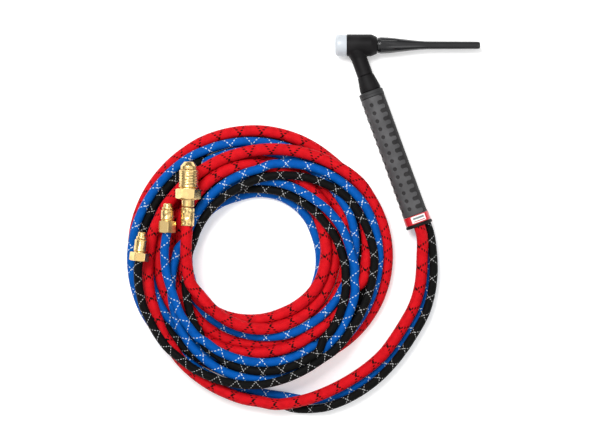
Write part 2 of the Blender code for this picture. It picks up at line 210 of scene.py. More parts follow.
MIX_FIRST, MIX_SECOND, MIX_COLOUR = 6, 7, 2     # a colour mix node's two inputs and its output


class Look:
    """A Principled material under construction. Most calls add one node and give back its output."""

    def __init__(self, name, colour=(0.5, 0.5, 0.5), roughness=0.5, metallic=0.0, specular=0.5,
                 coat=0.0, coat_roughness=0.1):
        self.material = bpy.data.materials.new(name)
        self.material.use_nodes = True
        self.tree = self.material.node_tree
        self.shader = self.tree.nodes["Principled BSDF"]
        self.set("Base Color", (*colour, 1.0))
        self.set("Roughness", roughness)
        self.set("Metallic", metallic)
        self.set("Specular IOR Level", specular)
        self.set("Coat Weight", coat)
        self.set("Coat Roughness", coat_roughness)

    def set(self, socket, value):
        """Sets one of the shader's sockets to a constant, or joins an output to it."""
        if isinstance(value, bpy.types.NodeSocket):
            self.tree.links.new(value, self.shader.inputs[socket])
        else:
            self.shader.inputs[socket].default_value = value

    def node(self, kind, **settings):
        made = self.tree.nodes.new(kind)
        for key, value in settings.items():
            setattr(made, key, value)
        return made

    def feed(self, socket, value):
        if isinstance(value, bpy.types.NodeSocket):
            self.tree.links.new(value, socket)
        elif value is not None:
            socket.default_value = value

    def math(self, operation, first, second=None):
        node = self.node("ShaderNodeMath", operation=operation)
        self.feed(node.inputs[0], first)
        self.feed(node.inputs[1], second)
        return node.outputs[0]

    def place(self):
        """The point's own place on its object, in metres."""
        return self.node("ShaderNodeTexCoord").outputs["Object"]

    def around_and_along(self):
        """The two UV values: turns around a hose or lathe piece, and metres along it."""
        split = self.node("ShaderNodeSeparateXYZ")
        self.feed(split.inputs[0], self.node("ShaderNodeTexCoord").outputs["UV"])
        return split.outputs[0], split.outputs[1]

    def noise(self, scale, detail, vector):
        node = self.node("ShaderNodeTexNoise")
        self.feed(node.inputs["Vector"], vector)
        node.inputs["Scale"].default_value = scale
        node.inputs["Detail"].default_value = detail
        return node.outputs["Fac"]

    def scaled(self, vector, x, y, z):
        """The vector with each axis stretched, for grain that runs along one direction."""
        node = self.node("ShaderNodeVectorMath", operation="MULTIPLY")
        self.feed(node.inputs[0], vector)
        node.inputs[1].default_value = (x, y, z)
        return node.outputs[0]

    def between(self, value, low, high):
        """The 0 to 1 value, spread over low to high."""
        node = self.node("ShaderNodeMapRange")
        self.feed(node.inputs["Value"], value)
        node.inputs["To Min"].default_value = low
        node.inputs["To Max"].default_value = high
        return node.outputs[0]

    def step(self, value, low, high):
        """0 under low, 1 over high, smooth between."""
        node = self.node("ShaderNodeMapRange", interpolation_type="SMOOTHSTEP")
        self.feed(node.inputs["Value"], value)
        node.inputs["From Min"].default_value = low
        node.inputs["From Max"].default_value = high
        return node.outputs[0]

    def mix(self, factor, first, second):
        node = self.node("ShaderNodeMix", data_type="RGBA")
        self.feed(node.inputs["Factor"], factor)
        for index, value in ((MIX_FIRST, first), (MIX_SECOND, second)):
            if isinstance(value, tuple):
                value = (*value, 1.0)
            self.feed(node.inputs[index], value)
        return node.outputs[MIX_COLOUR]

    def bump(self, height, distance, strength):
        node = self.node("ShaderNodeBump")
        self.feed(node.inputs["Height"], height)
        node.inputs["Distance"].default_value = distance
        node.inputs["Strength"].default_value = strength
        self.set("Normal", node.outputs[0])


def braid_look(name, colour, deep, tracer, pitch, carriers, tracer_yarns):
    """A nylon overbraid: two sets of yarns wind round opposite ways, each over two and under two of the
    other, and the tracer yarns of each set show as a line of dashes."""
    look = Look(name, roughness=0.6, specular=0.07)
    around, along = look.around_and_along()
    drift = look.math("MULTIPLY", look.math("SINE", look.math("MULTIPLY", along, 4.1)), 0.12)
    around = look.math("ADD", look.math("ADD", around, drift), 0.16)
    turn = look.math("DIVIDE", along, pitch)
    right = look.math("MULTIPLY", look.math("ADD", around, turn), carriers)
    left = look.math("MULTIPLY", look.math("SUBTRACT", around, turn), carriers)
    right_yarn, left_yarn = look.math("FLOOR", right), look.math("FLOOR", left)
    beat = look.math("FLOORED_MODULO", look.math("ADD", right_yarn, left_yarn), 4.0)
    over = look.math("GREATER_THAN", beat, 1.5)
    under = look.math("SUBTRACT", 1.0, over)

    def crown(value):
        """A yarn's round top: 0 at its edges, 1 along its middle."""
        part = look.math("FRACT", value)
        product = look.math("MULTIPLY", part, look.math("SUBTRACT", 1.0, part))
        return look.math("SQRT", look.math("MULTIPLY", product, 4.0))

    def is_tracer(yarn, shows):
        place = look.math("FLOORED_MODULO", yarn, float(carriers))
        return look.math("MULTIPLY", look.math("LESS_THAN", place, tracer_yarns - 0.5), shows)

    right_height = look.math("MULTIPLY", crown(right), under)
    height = look.math("ADD", right_height, look.math("MULTIPLY", crown(left), over))
    traced = look.math("MAXIMUM", is_tracer(right_yarn, under), is_tracer(left_yarn, over))
    worn = look.noise(160.0, 4.0, look.place())
    # Painted shade darkens each yarn towards its edges and the gaps; worn patches also fade to this dark colour
    shaded_yarn_colour = look.mix(look.step(height, 0.05, 0.8), deep, colour)
    shaded_and_faded = look.mix(look.math("MULTIPLY", look.step(worn, 0.35, 0.75), 0.35), shaded_yarn_colour, deep)
    look.set("Base Color", look.mix(traced, shaded_and_faded, tracer))
    look.set("Roughness", look.between(worn, 0.45, 0.65))
    look.bump(height, 0.0003, 0.8)
    return look.material


# --- hoses ----------------------------------------------------------------------------------------

STATIONS = 108                      # cross-sections of the coil, all the way round
STEP_STATIONS = STATIONS // 18      # stations in one 20 degree step of the tables
LAYER = 7.0                         # millimetres from one layer to the next before the hoses settle
CEILING = 33.0                      # millimetres: the coil's top, where the fittings lie on it
TAIL_STATIONS = 22                  # a hose's last stations, which rise over the ceiling to its fitting
BLEND_STATIONS = 14                 # a hose's first stations, over which it comes in from its lead
END_STATIONS = 3                    # at each end these stay where the lead and the tail need them
LEAD_CEILING = 60.0                 # millimetres: over the first stations there is no ceiling to speak of
HOLD, HOLD_LAYER = 0.1, 0.15        # how firmly the first layer keeps its place, and what each layer adds
CLEARANCE = 1.02                    # two hoses' distance in contact, over the sum of their radii
LIFT_SHARE, PART_SHARE = 0.25, 0.4  # how much of a lift or an overlap one push takes out
LONGEST_MOVE = 1.5                  # millimetres in one push


def smooth_line(values, width):
    """A line of numbers averaged with its neighbours, its two ends kept."""
    kernel = np.exp(-0.5 * (np.arange(-3 * width, 3 * width + 1) / width) ** 2)
    kernel /= kernel.sum()
    reach = 3 * width
    start = 2 * values[0] - values[reach:0:-1]
    end = 2 * values[-1] - values[-2:-reach - 2:-1]
    return np.convolve(np.concatenate([start, values, end]), kernel, "valid")


def coil_stations(turns):
    """A hose's distance from the coil's centre and its layer at each station, from its table."""
    radii = np.array([r for row, _ in turns for r in row], float)
    layers = np.array([int(digit) for _, digits in turns for digit in digits], float)
    places = np.arange((len(radii) - 1) * STEP_STATIONS + 1) / STEP_STATIONS
    known = np.arange(len(radii))
    radii = smooth_line(np.interp(places, known, radii), 3)
    layers = smooth_line(np.interp(places, known, layers), 2)
    return radii, layers


def station_angles(count):
    return np.radians(270.0 - 360.0 / STATIONS * np.arange(count))


def as_lies(radii, heights):
    """A hose's distances from the coil's centre, brought in for their height under the camera."""
    angles = station_angles(len(radii))
    shrink = 1.0 - heights * MM / VIEW_HEIGHT
    x = VIEW_CENTRE[0] + (COIL_CENTRE[0] + radii * np.cos(angles) - VIEW_CENTRE[0]) * shrink - COIL_CENTRE[0]
    y = VIEW_CENTRE[1] + (COIL_CENTRE[1] + radii * np.sin(angles) - VIEW_CENTRE[1]) * shrink - COIL_CENTRE[1]
    return np.hypot(x, y)


class Coil:
    """All three hoses' turns, settled together: at each station they are discs in one upright plane."""

    def __init__(self, hoses):
        self.spans, self.place, self.height, self.layer = [], [], [], []
        size, hold, ceiling, station = [], [], [], []
        for diameter, turns, start_height, end_height in hoses:
            radii, layers = coil_stations(turns)
            count, half = len(radii), diameter / MM / 2
            heights = half + (layers - 1) * LAYER
            blend = np.clip(np.arange(count) / BLEND_STATIONS, 0, 1)
            heights = start_height + (heights - start_height) * blend
            rise = np.clip((np.arange(count) - count + TAIL_STATIONS) / (TAIL_STATIONS - END_STATIONS), 0, 1)
            heights = heights + (end_height - heights) * rise * rise * (3 - 2 * rise)
            first = sum(len(p) for p in self.place)
            self.spans.append(slice(first, first + count))
            seen = 1 - blend
            self.place.append(radii * seen + as_lies(radii, heights) * (1 - seen))
            self.height.append(heights)
            self.layer.append(layers)
            size.append(np.full(count, half))
            held = HOLD + HOLD_LAYER * (layers - 1)
            held[:END_STATIONS] = held[-END_STATIONS:] = 1.0
            hold.append(held)
            top = CEILING - half + np.maximum(0, end_height + half - CEILING) * rise
            top[:STEP_STATIONS] = LEAD_CEILING
            ceiling.append(top)
            station.append(np.arange(count) % STATIONS)
        self.place, self.height, self.layer = map(np.concatenate, (self.place, self.height, self.layer))
        self.size, self.hold, self.ceiling = map(np.concatenate, (size, hold, ceiling))
        self.home, self.home_height = self.place.copy(), self.height.copy()
        self.fixed = self.hold > 0.99
        self.index = self.by_station(np.concatenate(station))
        self.fence = self.outer_edge(np.concatenate(station))

    def by_station(self, station):
        """For each station, which points lie in it, with -1 where there are fewer."""
        rows = [np.flatnonzero(station == s) for s in range(STATIONS)]
        index = np.full((STATIONS, max(map(len, rows))), -1)
        for s, row in enumerate(rows):
            index[s, :len(row)] = row
        return index

    def outer_edge(self, station):
        """How far out each point may go: no further than the outermost hose of its station."""
        edge = np.zeros(STATIONS)
        np.maximum.at(edge, station, self.home + self.size)
        return edge[station] - self.size

    def push(self, by_layer):
        """One round of contacts. By layer, the upper hose is lifted over the lower one; otherwise two hoses
        part along the line between their centres."""
        index = np.maximum(self.index, 0)
        real = self.index >= 0
        pair = real[:, :, None] & real[:, None, :] & ~np.eye(index.shape[1], dtype=bool)
        place, height, layer, size = (v[index] for v in (self.place, self.height, self.layer, self.size))
        across = place[:, :, None] - place[:, None, :]
        up = height[:, :, None] - height[:, None, :]
        need = (size[:, :, None] + size[:, None, :]) * CLEARANCE
        if by_layer:
            order = np.sign(np.round(layer[:, :, None] - layer[:, None, :], 1))
            lift = np.sqrt(np.maximum(need ** 2 - across ** 2, 0))
            short = np.where(pair & (lift > 0), np.maximum(0, lift - order * up), 0) * np.abs(order)
            move_up = (short * order).sum(2) * LIFT_SHARE
            pair = pair & (order == 0)
        else:
            move_up = 0
        gap = np.hypot(across, up) + 1e-6
        overlap = np.where(pair, np.maximum(0, need - gap), 0)
        move_up = move_up + (overlap * up / gap).sum(2) * PART_SHARE
        move_across = (overlap * across / gap).sum(2) * PART_SHARE
        free = real & ~self.fixed[index]
        np.add.at(self.place, index[free], np.clip(move_across, -LONGEST_MOVE, LONGEST_MOVE)[free])
        np.add.at(self.height, index[free], np.clip(move_up, -LONGEST_MOVE, LONGEST_MOVE)[free])

    def keep_in(self):
        """Keeps the points over the floor, under their ceiling and inside the coil, and the ends in place."""
        self.height = np.clip(self.height, self.size + 0.1, np.maximum(self.ceiling, self.size + 0.1))
        self.place = np.minimum(self.place, self.fence)
        self.height[self.fixed] = self.home_height[self.fixed]
        self.place[self.fixed] = self.home[self.fixed]

    def ease(self, stiffness, width):
        """Each hose's own stiffness takes out its short bends."""
        for span in self.spans:
            for values in (self.place, self.height):
                line = values[span]
                values[span] = line + (smooth_line(line, width) - line) * stiffness

    def relax(self, rounds, sink, pull, stiffness, width, pushes, by_layer):
        """Rounds of sinking, pulling back to the table's place, easing bends and parting hoses."""
        for step in range(rounds):
            self.height[~self.fixed] -= sink
            self.place += (self.home - self.place) * self.hold * pull
            self.ease(stiffness, width)
            for push in range(pushes):
                self.push(by_layer)
            self.keep_in()

    def settle(self):
        """First each hose is put over or under the others by its layer, then they sink together and part."""
        self.relax(260, sink=0.25, pull=0.5, stiffness=0.35, width=4, pushes=2, by_layer=True)
        self.relax(500, sink=0.08, pull=0.3, stiffness=0.22, width=4, pushes=2, by_layer=False)
        self.relax(80, sink=0.0, pull=0.0, stiffness=0.05, width=3, pushes=1, by_layer=False)

    def route(self, number):
        """One hose's points in the coil, in millimetres."""
        span = self.spans[number]
        angles = station_angles(span.stop - span.start)
        x = COIL_CENTRE[0] + self.place[span] * np.cos(angles)
        y = COIL_CENTRE[1] + self.place[span] * np.sin(angles)
        return np.stack([x, y, self.height[span]], axis=1)


def resampled(points, spacing):
    """Points an even distance apart along a smooth curve through the given ones."""
    given = np.array(points, float)
    padded = np.vstack([2 * given[0] - given[1], given, 2 * given[-1] - given[-2]])
    a, b, c, d = padded[:-3, None], padded[1:-2, None], padded[2:-1, None], padded[3:, None]
    t = (np.arange(8) / 8)[None, :, None]
    square, cube = 2 * a - 5 * b + 4 * c - d, 3 * b - a - 3 * c + d
    fine = 0.5 * (2 * b + (c - a) * t + square * t ** 2 + cube * t ** 3)
    fine = np.vstack([fine.reshape(-1, 3), given[-1]])
    walked = np.concatenate([[0], np.cumsum(np.linalg.norm(np.diff(fine, axis=0), axis=1))])
    count = max(2, int(round(walked[-1] / spacing)) + 1)
    even = np.linspace(0, walked[-1], count)
    return np.stack([np.interp(even, walked, fine[:, axis]) for axis in range(3)], axis=1)


def tube_frames(line):
    """A pair of unit vectors across the line at each point, carried along it without twist."""
    along = np.gradient(line, axis=0)
    along /= np.linalg.norm(along, axis=1)[:, None]
    side = np.cross(along[0], (0, 0, 1.0))
    side /= np.linalg.norm(side)
    sides = []
    for direction in along:
        side = side - direction * side.dot(direction)
        side /= np.linalg.norm(side)
        sides.append(side)
    sides = np.array(sides)
    return sides, np.cross(along, sides)


def grid_mesh(name, points, u, v, looks, closed=False, sharp=50):
    """A tube from a grid of points, rings by sides, joined round its sides. u runs round it and v along it.
    An open tube gets flat ends; a closed one joins its last ring to its first. looks lists its materials."""
    rings, sides = points.shape[:2]
    bands = rings if closed else rings - 1
    mesh = bpy.data.meshes.new(name)
    ring, side = np.meshgrid(np.arange(bands), np.arange(sides), indexing="ij")
    after, beyond = (side + 1) % sides, (ring + 1) % rings
    this, following = ring * sides, beyond * sides
    corners = np.stack([this + side, this + after, following + after, following + side], axis=-1)
    faces = corners.reshape(-1, 4).tolist()
    if not closed:
        faces += [list(range(sides))[::-1], [(rings - 1) * sides + s for s in range(sides)]]
    mesh.from_pydata(points.reshape(-1, 3).tolist(), [], faces)
    layer = mesh.uv_layers.new(name="along")
    u_all, v_all = np.append(u, 1.0), np.append(v, v[0])
    quads = np.stack([np.stack([u_all[side + du], v_all[ring + dv]], -1)
                      for du, dv in ((0, 0), (1, 0), (1, 1), (0, 1))], axis=2).reshape(-1, 2)
    loops = np.zeros((len(mesh.loops), 2))
    loops[:len(quads)] = quads
    layer.data.foreach_set("uv", loops.ravel())
    for look in looks:
        mesh.materials.append(look)
    return finished(name, mesh, sharp)


def finished(name, mesh, sharp):
    """The mesh as an object in the scene, with its faces turned outwards and shaded smooth."""
    shape = bmesh.new()
    shape.from_mesh(mesh)
    bmesh.ops.recalc_face_normals(shape, faces=shape.faces)
    shape.to_mesh(mesh)
    shape.free()
    mesh.shade_smooth()
    mesh.set_sharp_from_angle(angle=math.radians(sharp))
    return add_to_scene(name, mesh)


# Each hose's name, diameter, lead, turns and tail, the pieces on its end, and its braid: colour, painted
# shade between the yarns, which worn patches also fade to, tracer, metres for one turn of a yarn, yarns each
# way, and how many are tracers.
HOSES = [
    ("red", RED_D, RED_LEAD, RED_TURNS, RED_TAIL, ["power_crimp", "power_nut_body", "power_nipple_body"],
     ((0.66, 0.006, 0.012), (0.30, 0.001, 0.004), (0.003, 0.002, 0.002), 0.025, 28, 3)),
    ("blue", BLUE_D, BLUE_LEAD, BLUE_TURNS, BLUE_TAIL, ["water_nut_body", "water_nipple_body"],
     ((0.0, 0.095, 0.42), (0.0, 0.04, 0.20), (0.58, 0.68, 0.76), 0.025, 20, 1)),
    ("black", BLACK_D, BLACK_LEAD, BLACK_TURNS, BLACK_TAIL, ["gas_nut_body", "gas_nipple_body"],
     ((0.005, 0.005, 0.005), (0.001, 0.001, 0.001), (0.46, 0.46, 0.46), 0.022, 24, 1)),
]
HOSE_SIDES, HOSE_SPACING = 20, 4.0 * MM
BURIED = 2.0 * MM                   # how far a hose runs on into its fitting or the handle


def make_hose(name, line, diameter, look, cad_nodes):
    """One braided hose along a line of points, from inside the handle to inside its fitting."""
    ends = []
    for first, second in ((line[0], line[1]), (line[-1], line[-2])):
        ends.append(first + (first - second) / np.linalg.norm(first - second) * BURIED)
    line = resampled(np.vstack([ends[0], line, ends[1]]), HOSE_SPACING)
    side, up = tube_frames(line)
    turn = np.arange(HOSE_SIDES) / HOSE_SIDES
    ring = (side[:, None] * np.cos(2 * np.pi * turn)[None, :, None]
            + up[:, None] * np.sin(2 * np.pi * turn)[None, :, None])
    points = line[:, None] + ring * diameter / 2
    walked = np.concatenate([[0], np.cumsum(np.linalg.norm(np.diff(line, axis=0), axis=1))])
    hose = grid_mesh(name, points, turn, walked, [look])
    stands_for(hose, "torch", cad_nodes)


def make_hoses():
    coil = Coil([(diameter, turns, lead[-1][2], tail[-1][2]) for _, diameter, lead, turns, tail, *_ in HOSES])
    coil.settle()
    for number, (name, diameter, lead, _, tail, fitting, braid) in enumerate(HOSES):
        route = np.vstack([lead, coil.route(number)[::2], tail[::-1]]) * MM
        make_hose(name + "_hose", route, diameter, braid_look(name + "_braid", *braid),
                  [name + "_lead", name + "_tail", "hose_coil"])


# --- turned pieces --------------------------------------------------------------------------------

HEAD_FRAME = (Matrix.Translation(HEAD_POINT) @ Matrix.Rotation(TILT, 4, "X")
              @ Matrix.Rotation(math.radians(90), 4, "Y"))
HANDLE_FRAME = (Matrix.Translation(HEAD_POINT) @ Matrix.Rotation(TILT, 4, "X")
                @ Matrix.Rotation(HANDLE_ANGLE, 4, "Z") @ Matrix.Rotation(math.radians(90), 4, "Y"))


def arc_corners(outline, size, closed):
    """The outline with each corner rounded over size millimetres, or less where its sides are short."""
    points = [np.array(p, float) for p in outline]
    result = []
    for i, corner in enumerate(points):
        if not closed and i in (0, len(points) - 1):
            result.append(corner)
            continue
        before, after = points[i - 1], points[(i + 1) % len(points)]
        to_before, to_after = before - corner, after - corner
        near, far = np.linalg.norm(to_before), np.linalg.norm(to_after)
        reach = min(size, near * 0.4, far * 0.4)
        start, end = corner + to_before / near * reach, corner + to_after / far * reach
        for t in (0.0, 0.33, 0.67, 1.0):
            result.append((1 - t) ** 2 * start + 2 * t * (1 - t) * corner + t ** 2 * end)
    return result


def divided(outline, longest):
    """The outline with extra points, so that no side is longer than this."""
    result = [outline[0]]
    for first, second in zip(outline, outline[1:]):
        count = max(1, math.ceil(np.linalg.norm(second - first) / longest))
        result += [first + (second - first) * k / count for k in range(1, count + 1)]
    return result


def lathe(name, frame_matrix, outline, look, sides=64, closed=False, soft=0.35, longest=None, shape=None,
          start_turn=0.0, sharp=40):
    """A turned piece. Its outline is (radius, height) in millimetres, round its section. The angle runs from
    the frame's -X side towards its +Y side. shape(angle, height, radius) changes the radius."""
    outline = arc_corners(outline, soft, closed) if soft else [np.array(p, float) for p in outline]
    if longest:
        outline = divided(outline, longest)
    outline = np.array(outline)
    turn = np.arange(sides) / sides
    angle = 2 * np.pi * turn[None, :] + start_turn
    height = np.repeat(outline[:, 1][:, None], sides, axis=1)
    radius = np.repeat(outline[:, 0][:, None], sides, axis=1)
    if shape:
        radius = shape(angle, height, radius)
    local = np.stack([-np.cos(angle) * radius, np.sin(angle) * radius, height], axis=-1) * MM
    matrix = np.array(frame_matrix)
    points = local @ matrix[:3, :3].T + matrix[:3, 3]
    walked = np.concatenate([[0], np.cumsum(np.linalg.norm(np.diff(outline, axis=0), axis=1))]) * MM
    return grid_mesh(name, points, turn, walked, look if isinstance(look, list) else [look], closed, sharp)


def stands_for(piece, body, nodes):
    """The piece rides on its body in place of its CAD nodes."""
    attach(piece, body)
    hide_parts(*nodes)


def smoothstep(value, low, high):
    t = np.clip((value - low) / (high - low), 0, 1)
    return t * t * (3 - 2 * t)


# --- moulded, turned and printed looks ------------------------------------------------------------

WEAR = 0.06                         # how much handling adds to or takes off a moulded surface's roughness


def moulded_look(name, colour, roughness, grain=1400.0, depth=0.00006, specular=0.22):
    """Moulded rubber or plastic: a fine spark-eroded grain, and cloudy shine from handling."""
    look = Look(name, roughness=roughness, specular=specular)
    place = look.place()
    cloud = look.noise(45.0, 4.0, place)
    light = tuple(min(1.0, c * 1.5 + 0.004) for c in colour)
    look.set("Base Color", look.mix(look.step(cloud, 0.35, 0.8), colour, light))
    look.set("Roughness", look.between(cloud, roughness - WEAR, roughness + WEAR))
    look.bump(look.noise(grain, 2.0, place), depth, 0.5)
    return look.material


TOOL_FEED = 0.00022                 # metres from one of the tool's rings to the next


def metal_look(name, colour, dull, roughness):
    """Machined metal: fine rings left by the tool, with a thin tarnish in places."""
    look = Look(name, metallic=1.0)
    _, along = look.around_and_along()
    rings = look.math("SINE", look.math("MULTIPLY", along, 2 * math.pi / TOOL_FEED))
    tarnish = look.step(look.noise(120.0, 5.0, look.place()), 0.45, 0.75)
    look.set("Base Color", look.mix(tarnish, colour, dull))
    look.set("Roughness", look.between(tarnish, roughness, roughness + 0.14))
    look.bump(rings, 0.000004, 0.3)
    return look.material


def insulator_look():
    """White moulded insulator with a faint cool cloud."""
    look = Look("white_moulding", roughness=0.32, specular=0.5)
    cloud = look.noise(60.0, 3.0, look.place())
    look.set("Base Color", look.mix(cloud, (0.46, 0.50, 0.54), (0.56, 0.59, 0.62)))
    look.set("Roughness", look.between(cloud, 0.26, 0.4))
    look.bump(look.noise(900.0, 2.0, look.place()), 0.00003, 0.3)
    return look.material


def gloss_look():
    """Glossy black phenolic with light scuffs along its length."""
    look = Look("black_phenolic", roughness=0.18, specular=0.55)
    place = look.place()
    scuff = look.step(look.noise(70.0, 6.0, look.scaled(place, 0.35, 1.6, 1.6)), 0.5, 0.75)
    look.set("Base Color", look.mix(scuff, (0.006, 0.006, 0.007), (0.016, 0.016, 0.018)))
    look.set("Roughness", look.between(scuff, 0.1, 0.26))
    look.bump(look.noise(260.0, 3.0, look.scaled(place, 0.2, 1.0, 1.0)), 0.00003, 0.3)
    return look.material


LABEL_HIGH, LABEL_LOW = 206.0, 215.5    # millimetres along the handle's axis
LABEL_FACE = 13.0                   # how far the outline runs over the end face before it meets the band


def label_look():
    """Printed film: a red band with one white panel that holds two plain stripes."""
    look = Look("label_film", roughness=0.3, specular=0.5, coat=0.3, coat_roughness=0.1)
    around, along = look.around_and_along()

    def inside(value, low, high):
        after = look.math("GREATER_THAN", value, low)
        return look.math("MULTIPLY", after, look.math("LESS_THAN", value, high))

    length = (LABEL_LOW - LABEL_HIGH) * MM
    along = look.math("SUBTRACT", along, LABEL_FACE * MM)
    stripes = inside(around, 0.43, 0.585)
    panel = look.math("MULTIPLY", inside(around, 0.405, 0.605), inside(along, 0.12 * length, 0.9 * length))
    bar = look.math("MULTIPLY", stripes, inside(along, 0.5 * length, 0.74 * length))
    rule = look.math("MULTIPLY", stripes, inside(along, 0.22 * length, 0.32 * length))
    cloud = look.noise(90.0, 3.0, look.place())
    red = look.mix(cloud, (0.5, 0.006, 0.014), (0.62, 0.014, 0.024))
    printed = look.mix(panel, red, (0.86, 0.84, 0.82))
    printed = look.mix(look.math("MULTIPLY", bar, panel), printed, (0.16, 0.2, 0.2))
    look.set("Base Color", look.mix(look.math("MULTIPLY", rule, panel), printed, (0.55, 0.02, 0.03)))
    look.set("Roughness", look.between(cloud, 0.24, 0.4))
    look.bump(look.noise(1200.0, 2.0, look.place()), 0.00002, 0.3)
    return look.material


# --- torch ----------------------------------------------------------------------------------------

def make_head():
    """The head's shell is one rubber moulding: its CAD solid and a back shoulder, melted together."""
    shoulder = lathe("head_shoulder", HEAD_FRAME, [
        (6.0, 25.9), (9.3, 25.9), (9.8, 25.4), (12.35, 19.6), (12.35, 18.0), (6.0, 18.0),
    ], RUBBER_SKIN, sides=96, closed=True, soft=0.2)
    shape = bmesh.new()
    shape.from_mesh(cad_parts["head_shell"].data)
    shape.from_mesh(shoulder.data)
    joined = bpy.data.meshes.new("head_moulding")
    shape.to_mesh(joined)
    shape.free()
    bpy.data.objects.remove(shoulder)
    head = add_to_scene("head_moulding", joined)
    remesh = head.modifiers.new("skin", "REMESH")
    remesh.mode = "VOXEL"
    remesh.voxel_size = 0.5 * MM
    melt = head.modifiers.new("melt", "SMOOTH")
    melt.factor = 0.5
    melt.iterations = 2
    graph = bpy.context.evaluated_depsgraph_get()
    mesh = bpy.data.meshes.new_from_object(head.evaluated_get(graph))
    head.modifiers.clear()
    head.data = mesh
    mesh.shade_smooth()
    mesh.materials.clear()
    mesh.materials.append(RUBBER_SKIN)
    stands_for(head, "torch", ["head_shell"])


def make_gasket():
    gasket = lathe("front_insulator", HEAD_FRAME, [
        (12.3, -8.9), (12.4, -15.8), (12.1, -19.2), (11.2, -21.0), (9.9, -21.8), (6.0, -21.8), (6.0, -8.9),
    ], insulator_look(), sides=96, closed=True, soft=0.7)
    stands_for(gasket, "gasket", ["gasket"])


CAP_START, CAP_END, CAP_GRIP_END = 28.2, 143.8, 55.0
CAP_SKIRT = 26.5                    # the cap's skirt comes down round its O-ring to here
CAP_FLUTES, CAP_FLUTE_DEPTH = 9, 0.55
CAP_THREAD_PITCH = 1.5


def cap_radius(height):
    blend = smoothstep(height, CAP_START, CAP_START + 58.0)
    return 9.4 - 4.5 * blend - 0.6 * (height - CAP_START) / (CAP_END - CAP_START)


def cap_shape(angle, height, radius):
    """Flutes in the wide grip, which run out in points, and the thread on the stub."""
    in_grip = smoothstep(height, CAP_START + 0.8, CAP_START + 2.6)
    in_grip *= 1 - smoothstep(height, CAP_GRIP_END - 16, CAP_GRIP_END)
    flute = np.maximum(0, np.cos(CAP_FLUTES * angle)) ** 0.7
    thread = np.abs(2 * ((height / CAP_THREAD_PITCH + angle / (2 * np.pi)) % 1.0) - 1) - 0.5
    on_stub = (height < CAP_START - 1.6) & (height > 19.3) & (radius > 4.0)
    return radius - CAP_FLUTE_DEPTH * flute * in_grip + np.where(on_stub, 0.3 * thread - 0.15, 0)


def make_back_cap():
    tip = cap_radius(CAP_END)
    outline = [(0.4, CAP_END), (tip - 1.8, CAP_END - 0.1), (tip - 0.5, CAP_END - 0.7), (tip, CAP_END - 2.2)]
    outline += [(float(cap_radius(h)), h) for h in np.linspace(CAP_END - 3.2, CAP_START + 1.2, 36)]
    outline += [(8.9, CAP_START), (8.9, CAP_SKIRT), (6.9, CAP_SKIRT), (6.9, CAP_START), (4.8, CAP_START),
                (4.8, 19.2), (4.1, 18.5), (0.4, 18.5)]
    cap = lathe("back_cap_body", HEAD_FRAME, outline, gloss_look(), sides=144, soft=0.3, longest=0.6,
                shape=cap_shape)
    stands_for(cap, "back_cap", ["back_cap"])


def make_neck_boot():
    boot = lathe("neck_boot_moulding", HANDLE_FRAME, [
        (0.4, 55.7), (11.6, 55.7), (12.0, 54.5), (11.9, 52.0), (11.4, 48.6), (10.6, 44.5), (10.0, 41.4),
        (9.6, 38.6), (9.2, 36.9), (0.4, 36.9),
    ], BOOT_SKIN, sides=96, soft=0.8)
    stands_for(boot, "torch", ["neck_boot"])


HANDLE_CORE = 11.0                  # points further out than this are on the handle's outside


def bulged(angle, radius, left, right):
    """The radius, that much more at the handle's two sides and the same on top and below."""
    across = np.sin(angle)
    bulge = np.where(across < 0, left, right) * np.abs(across) ** 1.5
    return radius + np.where(radius > HANDLE_CORE, bulge, 0)


def oval(angle, height, radius):
    """The handle is wider than it is high, and more so on its left."""
    return bulged(angle, radius, 2.2, 0.9)


def end_oval(angle, height, radius):
    """The end ring, made to stand out from the label by about as much on both sides."""
    return bulged(angle, radius, 1.2, 0.0)


def make_collar():
    collar = lathe("handle_collar_ring", HANDLE_FRAME, [
        (0.4, 63.0), (12.3, 63.0), (12.6, 62.6), (12.6, 60.4), (12.35, 60.2), (12.35, 59.7), (12.6, 59.5),
        (12.6, 57.0), (11.8, 56.0), (0.4, 56.0),
    ], COLLAR_SKIN, sides=96, soft=0.3, shape=oval)
    stands_for(collar, "torch", ["handle_collar"])


GRIP_START, GRIP_END = 63.3, 205.7
DOT_ROW = math.radians(-27)         # where the grip's dots lie, from straight up towards its right side
DOT_COUNT, DOT_FIRST, DOT_PITCH, DOT_RADIUS = 14, 72.0, 9.65, 2.2
SLOT_INNER, TOOTH_OUTER, SLOT_HALF = 7.6, 15.4, 2.4       # across the surface from the row of dots
UNDER_SHIFT = 4.2                   # the under side's shell is this much narrower, each way
RECESS, RECESS_FROM = 0.7, 12.0     # how deep the recesses are, and the radius beyond which they are cut
GRIP_RADIUS = 13.0


def grip_relief(angle, height):
    """How far into its recess each point of the grip lies, from 0 on the outer shell to 1. The shell has a
    row of dots, and its two sides are combs of round-ended teeth over a sunk panel, on top and below."""
    turned = (angle - DOT_ROW + np.pi) % (2 * np.pi) - np.pi
    under = np.abs(turned) > np.pi / 2
    beside = np.where(under, np.pi - np.abs(turned), np.abs(turned)) * GRIP_RADIUS
    across = beside + np.where(under, UNDER_SHIFT, 0.0)
    number = np.clip(np.round((height - DOT_FIRST) / DOT_PITCH), 0, DOT_COUNT - 1)
    off_slot = np.abs(height - DOT_FIRST - number * DOT_PITCH)
    off_tooth = np.abs(off_slot - DOT_PITCH / 2)
    tooth_half = DOT_PITCH / 2 - SLOT_HALF
    in_dot = DOT_RADIUS - np.hypot(across, off_slot)
    round_inner = SLOT_INNER + SLOT_HALF
    in_slot = SLOT_HALF - np.hypot(np.minimum(across - round_inner, 0), off_slot)
    beyond_tooth = np.hypot(np.maximum(across - TOOTH_OUTER + tooth_half, 0), off_tooth) - tooth_half
    in_comb = np.where(across > TOOTH_OUTER - tooth_half, beyond_tooth, in_slot)
    return smoothstep(np.maximum(in_dot, in_comb), -0.3, 0.35)


